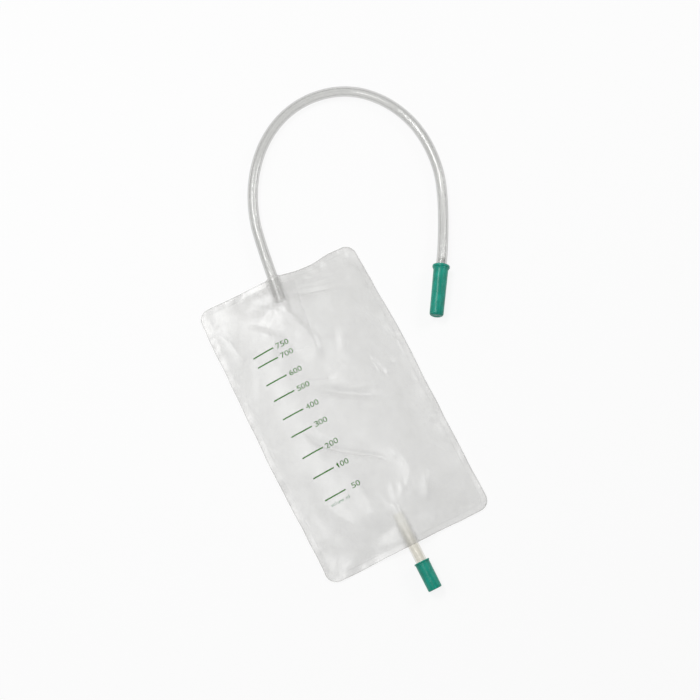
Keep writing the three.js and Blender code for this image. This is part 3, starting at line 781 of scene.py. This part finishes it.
def add_bump(tree, shader, height, distance, strength):
    bump = node(tree, "ShaderNodeBump", {"Height": height, "Distance": distance, "Strength": strength})
    feed(tree, shader, {"Normal": bump.outputs["Normal"]})
    return bump.outputs["Normal"]


def turned_away(tree):
    """0 where a face looks at the eye and 1 at its limb."""
    return node(tree, "ShaderNodeLayerWeight", {"Blend": 0.5}).outputs["Facing"]


def make_clear(tree, shader, tint, haze, normal, mirror, rough, bare=None):
    """Turns a plain finish into clear plastic: a haze of that finish over a tinted see-through body, under
    a face that mirrors a share of the light, and more of it at a slant. Both fade where it isn't bare."""
    slanted = maths(tree, "MULTIPLY", maths(tree, "POWER", turned_away(tree), 5.0), 1 - mirror)
    mirrored = maths(tree, "ADD", slanted, mirror, clamp=True)
    if bare:
        haze = maths(tree, "MULTIPLY", bare, haze)
        mirrored = maths(tree, "MULTIPLY", bare, mirrored)
    body = node(tree, "ShaderNodeBsdfTransparent", {"Color": tint})
    face = node(tree, "ShaderNodeBsdfGlossy", {"Color": WHITE, "Roughness": rough, "Normal": normal})
    hazy = mixed_shader(tree, haze, body.outputs[0], shader.outputs[0])
    shiny = mixed_shader(tree, mirrored, hazy, face.outputs[0])
    feed(tree, tree.nodes["Material Output"], {"Surface": shiny})


def film_material(name, first, second, haze, mirror, slant_share):
    """Clear vinyl film: a thin grey haze that is denser at a slant, on its cut edge and along the weld."""
    material, tree, shader = new_material(name)
    feed(tree, shader, {
        "Base Color": blended(tree, speckle(tree, 38, 4), first, second),
        "Roughness": speckle(tree, 70, 3, low=0.34, high=0.5),
    })
    edge = attribute(tree, "edge")
    cut = mapped(tree, edge, 0.0, 0.9, 0.2, 0.0)
    from_weld = maths(tree, "ABSOLUTE", maths(tree, "SUBTRACT", edge, WELD_WIDTH))
    weld_line = mapped(tree, from_weld, 0.0, 0.7, 0.05, 0.0)
    broken = maths(tree, "MULTIPLY", weld_line, speckle(tree, 130, 2))
    slant = maths(tree, "MULTIPLY", maths(tree, "POWER", turned_away(tree), 1.2), slant_share)
    cloudy = maths(tree, "ADD", speckle(tree, 55, 4, low=haze * 0.9, high=haze * 1.1), slant)
    total = maths(tree, "ADD", cloudy, maths(tree, "ADD", cut, broken), clamp=True)
    normal = add_bump(tree, shader, speckle(tree, 420, 3), distance=0.0001, strength=0.5)
    make_clear(tree, shader, WHITE, total, normal, mirror, rough=0.33)
    return material


def lengthwise(tree, turns, along_scale):
    """A place on a turned or drawn piece: round it at a radius of turns, and slowly along it."""
    around = attribute(tree, "around")
    return node(tree, "ShaderNodeCombineXYZ", {
        "X": maths(tree, "MULTIPLY", maths(tree, "COSINE", around), turns),
        "Y": maths(tree, "MULTIPLY", maths(tree, "SINE", around), turns),
        "Z": maths(tree, "MULTIPLY", attribute(tree, "along"), along_scale),
    }).outputs[0]


# What a tube's wall lets through, and how much haze and mirror it keeps, where the film wraps it
IN_FILM, IN_FILM_SHARE = (0.997, 0.996, 0.985), 0.12


def tube_material(name, first, second, middle, limb, haze, wrapped=None):
    """Clear vinyl tubing: its walls look darker towards their limbs, with lengthwise drawing lines. As far
    as it is wrapped in the bag's film, from its start, no air lies on its face and it looks clearer."""
    material, tree, shader = new_material(name)
    lines = lengthwise(tree, 1.7, 0.6)
    feed(tree, shader, {
        "Base Color": blended(tree, speckle(tree, 1.6, 3, lines), first, second),
        "Roughness": speckle(tree, 60, 3, low=0.2, high=0.3),
    })
    depth = maths(tree, "POWER", turned_away(tree), 1.6)
    drawn = maths(tree, "ADD", depth, speckle(tree, 2.4, 2, lines, low=-0.10, high=0.14), clamp=True)
    through = blended(tree, drawn, middle, limb)
    bare = None
    if wrapped:
        along = attribute(tree, "along")
        bare = mapped(tree, along, 0.25 * wrapped, 1.1 * wrapped, IN_FILM_SHARE, 1.0)
        feed(tree, through.node, {
            "A": blended(tree, bare, IN_FILM, middle), "B": blended(tree, bare, IN_FILM, limb),
        })
    normal = add_bump(tree, shader, speckle(tree, 2.0, 1, lines), distance=0.0002, strength=0.5)
    make_clear(tree, shader, through, haze, normal, mirror=0.030, rough=0.13, bare=bare)
    return material


def vinyl_material(name, first, second):
    """Dipped green vinyl, satin gloss with a faint orange peel, marks dragged along the cap and bands of
    painted sheen and shade in its colour.
    """
    material, tree, shader = new_material(name)
    # Place along and round the cap, for the real marks in its bump and the painted sheen bands in its colour
    drag_and_sheen_bands = lengthwise(tree, 2.0, 25.0)
    # Painted light: the lengthwise bands in this colour are partly marks of the dip and partly painted sheen
    # and shade, standing in for the light and dark bands the lamps make along the cap; the fine speckle is
    # the vinyl's own mottle
    mottle_and_painted_sheen = maths(tree, "ADD", speckle(tree, 1.8, 3, drag_and_sheen_bands), speckle(tree, 160, 4))
    feed(tree, shader, {
        "Base Color": blended(tree, maths(tree, "MULTIPLY", mottle_and_painted_sheen, 0.5), first, second),
        "Roughness": speckle(tree, 220, 4, low=0.28, high=0.42),
        "IOR": 1.5, "Specular IOR Level": 0.3, "Coat Weight": 0.12, "Coat Roughness": 0.2,
    })
    marks = maths(tree, "MULTIPLY", speckle(tree, 3.0, 3, drag_and_sheen_bands), 1.5)
    peel = maths(tree, "ADD", speckle(tree, 900, 2), marks)
    add_bump(tree, shader, peel, distance=0.00006, strength=0.8)
    return material


def moulded_material(name, first, second):
    material, tree, shader = new_material(name)
    feed(tree, shader, {
        "Base Color": blended(tree, speckle(tree, 120, 4), first, second),
        "Roughness": speckle(tree, 300, 3, low=0.32, high=0.46),
    })
    add_bump(tree, shader, speckle(tree, 1400, 2), distance=0.00003, strength=0.7)
    return material


def ink_material(name, first, second):
    material, tree, shader = new_material(name)
    feed(tree, shader, {
        "Base Color": blended(tree, speckle(tree, 260, 3), first, second),
        "Roughness": speckle(tree, 500, 3, low=0.35, high=0.55),
        "Alpha": speckle(tree, 700, 3, low=0.8, high=1.0),
        "Specular IOR Level": 0.15,
    })
    return material


clear_film = film_material(
    "clear_film", (0.53, 0.525, 0.50), (0.60, 0.595, 0.57), haze=0.124, mirror=0.021, slant_share=0.38
)
valve_film = film_material(
    "valve_film", (0.66, 0.66, 0.65), (0.72, 0.72, 0.71), haze=0.012, mirror=0.012, slant_share=0.12
)
clear_tubing = tube_material(
    "clear_tubing", (0.50, 0.50, 0.49), (0.60, 0.60, 0.59),
    middle=(0.92, 0.92, 0.915), limb=(0.62, 0.62, 0.615), haze=0.03,
)
cream_tubing = tube_material(
    "cream_tubing", (0.66, 0.63, 0.55), (0.74, 0.72, 0.66),
    middle=(0.940, 0.932, 0.905), limb=(0.82, 0.81, 0.78), haze=0.03, wrapped=OUTLET.inside * MM,
)
green_vinyl = vinyl_material("green_vinyl", (0.001, 0.185, 0.130), (0.008, 0.355, 0.262))
white_plastic = moulded_material("white_plastic", (0.80, 0.81, 0.79), (0.86, 0.86, 0.85))
green_ink = ink_material("green_ink", (0.026, 0.150, 0.006), (0.044, 0.200, 0.014))
faint_ink = ink_material("faint_ink", (0.15, 0.31, 0.18), (0.25, 0.39, 0.27))


# The inlet tube, from its end inside the bag to its end in the cap

def inlet_points():
    points = []
    for i, (right, up, share) in enumerate(INLET_ROUTE):
        end_height = INLET_HEIGHT if i < len(INLET_ROUTE) / 2 else INLET_CAP_HEIGHT
        z = LYING_HEIGHT + share * (end_height - LYING_HEIGHT)
        points.append((INLET.x + right, INLET.y + up, z))
    inside = [(*port_at(INLET, depth, 0), INLET_HEIGHT) for depth in (INLET.inside, INLET.inside / 2)]
    mouth = np.array(points[-1])
    direction = mouth - np.array(points[-2])
    direction /= np.linalg.norm(direction)
    return inside + points + [tuple(mouth + direction * INLET_TUBE_COVERED)], mouth, direction


route, mouth, direction = inlet_points()
tube_path, tube_length = smooth_curve(route)
inlet_tube = make_tube("inlet_tube_clear", tube_path, INLET_SIDES, clear_tubing)
dress(inlet_tube, "bag", "clear_tubing", "inlet_tube")


# Connector and caps

LIP_SHARE, DIMPLE_SHARE, FLOOR_ROUND, FLANGE_ROUND = 0.35, 0.55, 0.4, 0.3
CONNECTOR_BORE, COLLAR_RADIUS, COLLAR_LENGTH, COLLAR_CUT = 1.8, 4.94, 2.0, 0.2
TAIL_LENGTH, BARBS, BARB_DEPTH, BARBED_SHARE = 13.0, 3, 0.35, 0.75
NOSE_LENGTH, NOSE_STEPS, NOSE_SET_IN, NOSE_TAPER, NOSE_CUT = 27.0, 4, 0.75, 1.1, 0.3


def cap_profile(length, diameter, bore, taper, flange, flange_height, bead, end_radius):
    """Half section of a cap: its floor, bore, mouth, flange, bead, tapered side and dimpled end."""
    radius, hole = diameter / 2, bore / 2
    end = radius - taper
    lip = LIP_SHARE * flange_height
    dimple = DIMPLE_SHARE * end
    inner_end, corner = length - CAP_FLOOR, hole - taper - FLOOR_ROUND
    profile = [(0, inner_end), (corner, inner_end)]
    profile += arc(corner, inner_end - FLOOR_ROUND, FLOOR_ROUND, 90, 0, 4)[1:]
    profile += [(hole, lip)]
    profile += arc(hole + lip, lip, lip, 180, 270, 8)
    profile += arc(radius + flange - lip, lip, lip, 270, 360, 8)
    profile += arc(radius + flange - FLANGE_ROUND, flange_height - FLANGE_ROUND, FLANGE_ROUND, 0, 90, 4)
    profile += arc(radius + bead, flange_height + 0.15 * flange_height, 0.12, 200, 120, 3)
    bead_end = 1.5 * flange_height
    profile += [(radius + bead, bead_end), (radius + 0.3 * bead, bead_end + bead)]
    start_y, stop_y = bead_end + 1.5 * bead, length - end_radius
    profile += [
        (radius - taper * (s * (stop_y - start_y)) / stop_y, start_y + s * (stop_y - start_y))
        for s in np.linspace(0, 1, 7)
    ]
    profile += arc(end - end_radius, length - end_radius, end_radius, 0, 90, 12)[1:]
    profile += [(dimple + 0.3, length), (dimple, length - 0.08)]
    profile += [(dimple - DIMPLE_DEPTH + 0.1, length - DIMPLE_DEPTH + 0.06)]
    profile += [(dimple - DIMPLE_DEPTH - 0.25, length - DIMPLE_DEPTH), (0, length - DIMPLE_DEPTH)]
    return profile


def connector_profile():
    """Half section of the connector: its barbed tail, collar and stepped nose."""
    tail, collar = TUBE_BORE - FIT_GAP, COLLAR_RADIUS
    neck = tail - BARB_DEPTH
    collar_start = INLET_TUBE_COVERED + PIECE_GAP
    nose_start = collar_start + COLLAR_LENGTH
    tail_start = collar_start - TAIL_LENGTH
    pitch = BARBED_SHARE * TAIL_LENGTH / BARBS
    profile = [(CONNECTOR_BORE, tail_start)]
    for k in range(BARBS):
        profile += [(neck, tail_start + k * pitch), (tail, tail_start + (k + 0.8) * pitch)]
        profile += [(neck, tail_start + (k + 0.85) * pitch)]
    profile += [(neck, collar_start), (collar - COLLAR_CUT, collar_start)]
    profile += [(collar, collar_start + COLLAR_CUT), (collar, nose_start - COLLAR_CUT)]
    profile += [(collar - COLLAR_CUT, nose_start)]
    step = NOSE_LENGTH / NOSE_STEPS
    for k in range(NOSE_STEPS):
        radius = collar - NOSE_SET_IN - NOSE_TAPER * k / (NOSE_STEPS - 1)
        y = nose_start + k * step
        profile += [(radius, y + (NOSE_CUT if k else 0)), (radius - NOSE_CUT, y + step)]
    return profile + [(CONNECTOR_BORE, nose_start + NOSE_LENGTH), (CONNECTOR_BORE, tail_start)]


connector = make_turned("stepped_connector", connector_profile(), mouth, direction, white_plastic)
dress(connector, "bag", "white_plastic", "catheter_connector")

long_cap = cap_profile(
    length=46, diameter=12.9, bore=10.5, taper=0.45, flange=1.1, flange_height=2.2, bead=0.45, end_radius=2.2
)
inlet_cap = make_turned("inlet_slip_cap", long_cap, mouth, direction, green_vinyl)
dress(inlet_cap, "inlet_closure", "green_vinyl", "inlet_cap")

short_cap = cap_profile(
    length=24.5, diameter=12.1, bore=9.7, taper=0.15, flange=0.55, flange_height=1.3, bead=0.12, end_radius=1
)
outlet_mouth = (OUTLET.x, OUTLET.y - OUTLET_SHOWN, OUTLET_HEIGHT)
outlet_cap = make_turned("outlet_slip_cap", short_cap, outlet_mouth, (0, -1, 0), green_vinyl)
dress(outlet_cap, "outlet_closure", "green_vinyl", "outlet_cap")

outlet_top = OUTLET.y + OUTLET.inside
outlet_length = OUTLET.inside + OUTLET_SHOWN + OUTLET_TUBE_COVERED
outlet_path = np.stack([
    np.full(OUTLET_RINGS, OUTLET.x),
    np.linspace(outlet_top, outlet_top - outlet_length, OUTLET_RINGS),
    np.full(OUTLET_RINGS, OUTLET_HEIGHT),
], -1)
outlet_tube = make_tube("outlet_tube_cream", outlet_path, OUTLET_SIDES, cream_tubing)
dress(outlet_tube, "bag", "cream_tubing", "outlet_tube")


# Films and valve

front = make_sheet("front_film_sheet", film_points(FRONT_CELL), front_inner, FILM_THICKNESS, clear_film)
dress(front, "bag", "clear_film", "front_film")
back = make_sheet("back_film_sheet", film_points(BACK_CELL), back_inner, -FILM_THICKNESS, clear_film)
dress(back, "bag", "clear_film", "back_film")
front_flap = make_sheet(
    "valve_flap_front", flap_points(FLAP_CELL), front_flap_inner, FLAP_THICKNESS, valve_film, flap_edge
)
dress(front_flap, "bag", "valve_film", "valve_front_flap")
back_flap = make_sheet(
    "valve_flap_back", flap_points(FLAP_CELL), back_flap_inner, -FLAP_THICKNESS, valve_film, flap_edge
)
dress(back_flap, "bag", "valve_film", "valve_back_flap")


# Printed scale: lines and numerals that follow the front film, and a faint unit under them

# Numeral, height up the bag, and rise of the line to its right
SCALE = [
    ("750", 69.1, 0.8), ("700", 60.1, 0.6), ("600", 43.1, 0.6), ("500", 28.1, 0.6), ("400", 10.6, 0.6),
    ("300", -5.9, 0.6), ("200", -25.9, 0.8), ("100", -45.1, 0.7), ("50", -65.7, 0.8),
]
LINE_LEFT, LINE_RIGHT, LINE_WIDTH, LINE_RISE, LINE_RUN = -48.3, -29.2, 1.22, 0.75, 20.0
LINE_ROWS, LINE_COLUMNS, RAGGED_SHARE = 36, 4, 0.08
NUMERAL_RIGHT, NUMERAL_RISE = -15.0, 0.6
UNIT_WORDS, UNIT_LEFT, UNIT_PLACE, UNIT_SHIFT, UNIT_SLOPE = "volume ml", -44.6, -70.6, 0.8, 0.02
# Pitch, width and height of the characters
NUMERAL_SIZES, UNIT_SIZES = (3.95, 3.45, 4.8), (1.95, 1.6, 3.2)
CAPITAL_HEIGHT, BOLD, LETTER_CELL, FIRST_CUT = 0.73, 0.001, 0.55, 0.27
PRINT_LIFT, PRINT_LEAN, LEAN_REACH, SEEK_ROUNDS = 0.05, 2.4, 90, 4
NARROW = {"1": 0.46, "l": 0.3, "m": 1.25}
FIGURE_ONE = [(0.15, 0), (0.25, 0), (0.25, 0.69), (0.165, 0.69), (0, 0.58), (0, 0.47), (0.15, 0.56)]


def print_drift(y):
    """The lower left of the lying bag leans in, and its print with it."""
    return PRINT_LEAN * ease(-y / LEAN_REACH)


def on_film(x, y, lift):
    """Points of the lying print, carried onto the front film's outer face."""
    flat_x, flat_y = x.copy(), y.copy()
    for _ in range(SEEK_ROUNDS):
        lying_x, lying_y = lay_down(flat_x, flat_y)
        flat_x, flat_y = flat_x + x - lying_x, flat_y + y - lying_y
    _, outer = place(flat_x, flat_y, front_inner, FILM_THICKNESS + lift)
    return outer


def letter_shape(letter):
    """The flat outline of a letter. The figure one, a plain bar in the font, is drawn here with a flag."""
    shape = bmesh.new()
    if letter == "1":
        shape.faces.new([shape.verts.new((x, y, 0)) for x, y in FIGURE_ONE])
        bmesh.ops.triangulate(shape, faces=shape.faces[:])
        return shape
    curve = bpy.data.curves.new("letter", "FONT")
    curve.body = letter
    curve.resolution_u = 8
    curve.offset = 0.0 if letter == "l" else BOLD
    text = add_object("letter", curve)
    bpy.context.view_layer.update()
    mesh = bpy.data.meshes.new_from_object(text.evaluated_get(bpy.context.evaluated_depsgraph_get()))
    bpy.data.objects.remove(text)
    bpy.data.curves.remove(curve)
    shape.from_mesh(mesh)
    bpy.data.meshes.remove(mesh)
    return shape


def glyph_mesh(letter, width, height):
    """One flat letter, standing from 0 to width and centred in height, cut into small cells so that it
    can follow the film."""
    shape = letter_shape(letter)
    spots = np.array([v.co for v in shape.verts])
    low, high = spots.min(0), spots.max(0)
    size = height / CAPITAL_HEIGHT
    foot = low[1] if letter in "0123456789l" else 0
    for v in shape.verts:
        v.co.x = (v.co.x - low[0]) / (high[0] - low[0]) * width
        v.co.y = (v.co.y - foot) * size - 0.5 * height
        v.co.z = 0
    bmesh.ops.remove_doubles(shape, verts=shape.verts, dist=1e-4)
    for axis, first, last in ((0, 0, width), (1, -0.5 * height, 0.5 * height)):
        for cut in np.arange(first + FIRST_CUT, last, LETTER_CELL):
            at, normal = [0, 0, 0], [0, 0, 0]
            at[axis], normal[axis] = float(cut), 1
            whole = shape.verts[:] + shape.edges[:] + shape.faces[:]
            bmesh.ops.bisect_plane(shape, geom=whole, plane_co=at, plane_no=normal)
    points = np.array([v.co[:2] for v in shape.verts])
    shape.verts.index_update()
    faces = [[v.index for v in f.verts] for f in shape.faces]
    shape.free()
    return points, faces


def word_parts(words, right, y, slope, pitch, width, height):
    """Letters at one pitch that end at right, rising to the right with the line's slope."""
    parts = []
    for k, letter in enumerate(words):
        if letter == " ":
            continue
        wide = width * NARROW.get(letter, 1.0)
        points, faces = glyph_mesh(letter, wide, height)
        x = points[:, 0] + (right - pitch * (len(words) - k) + (pitch - wide) / 2)
        parts.append((np.stack([x, points[:, 1] + y + slope * (x - right)], -1), faces))
    return parts


def line_mesh(left, right, y, tilt):
    share, side = np.meshgrid(
        np.linspace(0, 1, LINE_ROWS), np.linspace(-0.5, 0.5, LINE_COLUMNS), indexing="ij"
    )
    x = left + share * (right - left)
    ragged = 1 + RAGGED_SHARE * noise(x, y + 40 * side, 1.3, 99)
    points = np.stack([x, y + tilt * (share - 0.5) + side * LINE_WIDTH * ragged], -1)
    return points.reshape(-1, 2), grid_faces(LINE_ROWS, LINE_COLUMNS, flip=True)


def add_print(name, parts, material):
    points, faces, start = [], [], 0
    for part_points, part_faces in parts:
        points.append(on_film(part_points[:, 0], part_points[:, 1], PRINT_LIFT))
        faces += [[start + k for k in face] for face in part_faces]
        start += len(part_points)
    piece = make_object(name, np.concatenate(points), faces, material)
    return dress(piece, "bag", "clear_film")


lines, numerals = [], []
for words, place_up, tilt in SCALE:
    up, drift = place_up + LINE_RISE, print_drift(place_up)
    lines.append(line_mesh(LINE_LEFT + drift, LINE_RIGHT + drift, up, tilt))
    right, middle = NUMERAL_RIGHT + 0.5 * drift, up + 0.5 * tilt + NUMERAL_RISE
    numerals += word_parts(words, right, middle, tilt / LINE_RUN, *NUMERAL_SIZES)
unit_right = UNIT_LEFT + len(UNIT_WORDS) * UNIT_SIZES[0] + UNIT_SHIFT
unit = word_parts(UNIT_WORDS, unit_right, UNIT_PLACE, UNIT_SLOPE, *UNIT_SIZES)
scale_lines = add_print("scale_lines", lines, green_ink)
scale_numerals = add_print("scale_numerals", numerals, green_ink)
scale_unit = add_print("scale_unit", unit, faint_ink)


# Floor, light and world, in metres

# The floor keeps clear of the film's lower face, so that neither hides patches of the other. A wall of
# the same material stands far off all round, and low views see it behind the floor.
FLOOR_HALF, FLOOR_GAP = 12, 0.0001
WALL_RADIUS, WALL_HEIGHT, WALL_SIDES = 11.0, 4.5, 72
FLOOR_GREY, WHITE_SHARE = (0.86, 0.86, 0.86, 1), 0.86
WORLD_STRENGTH = 0.31

# Name, place, width, height and watts of each lamp, and where all of them aim
LAMPS = [
    ("key", (-0.22, 0.67, 1.15), 0.34, 0.50, 6.6),
    ("low", (-0.30, 0.03, 1.15), 0.4, 0.32, 2.4),
    ("side", (-1.15, 0.50, 0.9), 0.32, 0.30, 2.3),
    ("fill", (1.15, 0.21, 0.75), 0.34, 0.45, 4.0),
]
LAMP_TARGET, LAMP_UP = (0.03, 0.04, 0.0), (0.44, 0.9, 0.0)


def white_for_camera(name):
    """A pale material that the camera, mirrors and glass see as white, while it still takes shadows."""
    material, tree, _ = new_material(name)
    tree.nodes.clear()
    path = node(tree, "ShaderNodeLightPath")
    in_glass = maths(tree, "MAXIMUM", path.outputs["Is Glossy Ray"], path.outputs["Is Transmission Ray"])
    seen = maths(tree, "MAXIMUM", path.outputs["Is Camera Ray"], in_glass)
    pale = node(tree, "ShaderNodeBsdfDiffuse", {"Color": FLOOR_GREY})
    glow = node(tree, "ShaderNodeEmission", {"Color": WHITE, "Strength": 1.0})
    share = maths(tree, "MULTIPLY", seen, WHITE_SHARE)
    surface = mixed_shader(tree, share, pale.outputs[0], glow.outputs[0])
    node(tree, "ShaderNodeOutputMaterial", {"Surface": surface})
    return material


floor_material = white_for_camera("floor")


def stage_surface(name, points, faces):
    mesh = bpy.data.meshes.new(name)
    mesh.from_pydata(points, [], faces)
    mesh.materials.append(floor_material)
    return add_object(name, mesh)


floor_corners = [(FLOOR_HALF * x, FLOOR_HALF * y, 0) for x, y in ((-1, -1), (1, -1), (1, 1), (-1, 1))]
floor = stage_surface("floor", floor_corners, [(0, 1, 2, 3)])
floor.location.z = -FLOOR_GAP

turn = np.linspace(0, 2 * math.pi, WALL_SIDES, endpoint=False)
wall_ring = np.stack([WALL_RADIUS * np.cos(turn), WALL_RADIUS * np.sin(turn)], -1)
wall_points = [(x, y, z) for z in (0.0, WALL_HEIGHT) for x, y in wall_ring.tolist()]
wall = stage_surface("wall", wall_points, grid_faces(2, WALL_SIDES, wrap=True).tolist())

scene = bpy.context.scene
world = bpy.data.worlds.new("world")
world.use_nodes = True
background = world.node_tree.nodes["Background"]
feed(world.node_tree, background, {"Color": WHITE, "Strength": WORLD_STRENGTH})
scene.world = world

for name, place_at, width, height, watts in LAMPS:
    lamp = bpy.data.lights.new(name, "AREA")
    lamp.shape = "RECTANGLE"
    lamp.size, lamp.size_y = width, height
    lamp.energy = watts
    light = add_object(name, lamp)
    light.matrix_world = look_from(place_at, LAMP_TARGET, LAMP_UP)

scene.view_settings.view_transform = "Standard"
scene.cycles.transparent_max_bounces = 40
